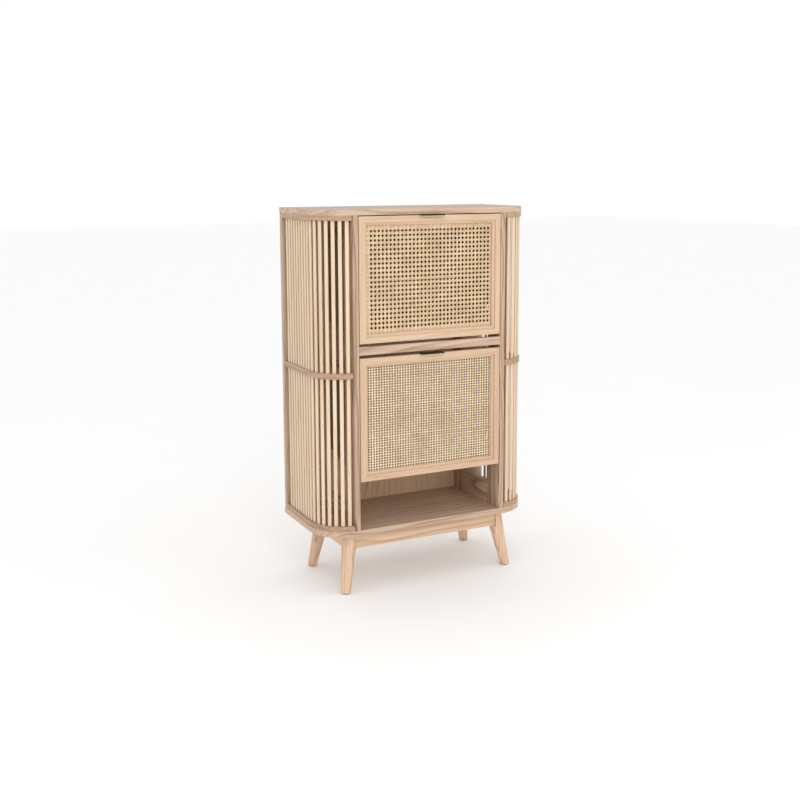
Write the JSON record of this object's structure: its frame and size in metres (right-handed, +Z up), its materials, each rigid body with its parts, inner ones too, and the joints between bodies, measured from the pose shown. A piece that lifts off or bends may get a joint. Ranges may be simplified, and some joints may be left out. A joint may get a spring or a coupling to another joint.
{
  "type": "shoe cabinet",
  "caption": "Tall shoe cabinet with tilting woven cane doors, slatted round corners, an open shelf and splayed legs.",
  "frame": {"origin": "on the floor under the centre of the cabinet's box, door pulls included", "axes": "+Z up, +X to the cabinet's right seen from the front, doors face -Y"},
  "size_m": [0.75, 0.349, 1.2],
  "materials": {
    "board_ash": "satin oiled ash, pinkish tan",
    "rail_ash": "satin oiled ash",
    "post_ash": "satin oiled ash",
    "slat_wood": "pale bare pine slats",
    "back_veneer": "ash veneer, matt",
    "door_wood": "pale peach ash, satin",
    "leg_wood": "pale ash, satin",
    "cane_open": "open octagonal cane webbing, natural",
    "cane_close": "close square cane webbing, natural",
    "pull_bronze": "dark bronze",
    "grey_plastic": "grey moulded",
    "tray_plastic": "dark brown moulded",
    "zinc_steel": "zinc plated",
    "glide_plastic": "moulded"
  },
  "bodies": {
    "carcass": {"top_board": "board_ash", "bottom_board": "board_ash", "front_post_left": "post_ash", "front_post_right": "post_ash", "rear_post_left": "post_ash", "rear_post_right": "post_ash", "side_rail_left": "post_ash", "side_rail_right": "post_ash", "back_board_left": "rail_ash", "back_board_right": "rail_ash", "back_panel": "back_veneer", "front_mid_rail": "board_ash", "slat_rail_top_left": "rail_ash", "slat_rail_top_right": "rail_ash", "slat_rail_mid_left": "rail_ash", "slat_rail_mid_right": "rail_ash", "slat_rail_bottom_left": "rail_ash", "slat_rail_bottom_right": "rail_ash", "upper_slats_left": "slat_wood", "upper_slats_right": "slat_wood", "lower_slats_left": "slat_wood", "lower_slats_right": "slat_wood", "pivot_brackets": "zinc_steel", "front_apron": "leg_wood", "rear_apron": "leg_wood", "side_apron_left": "leg_wood", "side_apron_right": "leg_wood", "front_leg_left": "leg_wood", "front_leg_right": "leg_wood", "rear_leg_left": "leg_wood", "rear_leg_right": "leg_wood", "foot_glides": "glide_plastic", "corner_braces": "leg_wood", "leg_bolts": "zinc_steel"},
    "upper_bin": {"upper_stile_left": "door_wood", "upper_stile_right": "door_wood", "upper_rail_top": "door_wood", "upper_rail_bottom": "door_wood", "upper_bead": "door_wood", "upper_cane": "cane_open", "upper_pull": "pull_bronze", "upper_side_plate_left": "grey_plastic", "upper_side_plate_right": "grey_plastic", "upper_tray_low": "tray_plastic", "upper_tray_high": "tray_plastic", "upper_screws": "zinc_steel"},
    "lower_bin": {"lower_stile_left": "door_wood", "lower_stile_right": "door_wood", "lower_rail_top": "door_wood", "lower_rail_bottom": "door_wood", "lower_bead": "door_wood", "lower_cane": "cane_close", "lower_pull": "pull_bronze", "lower_side_plate_left": "grey_plastic", "lower_side_plate_right": "grey_plastic", "lower_tray_low": "tray_plastic", "lower_tray_high": "tray_plastic", "lower_screws": "zinc_steel"}
  },
  "joints": [
    {"name": "upper_bin_tilt", "type": "hinge", "parent": "carcass", "child": "upper_bin", "pos_m": [0, -0.1355, 0.852], "axis": [1, 0, 0], "range_deg": [0, 45]},
    {"name": "lower_bin_tilt", "type": "hinge", "parent": "carcass", "child": "lower_bin", "pos_m": [0, -0.1355, 0.42], "axis": [1, 0, 0], "range_deg": [0, 45]}
  ]
}
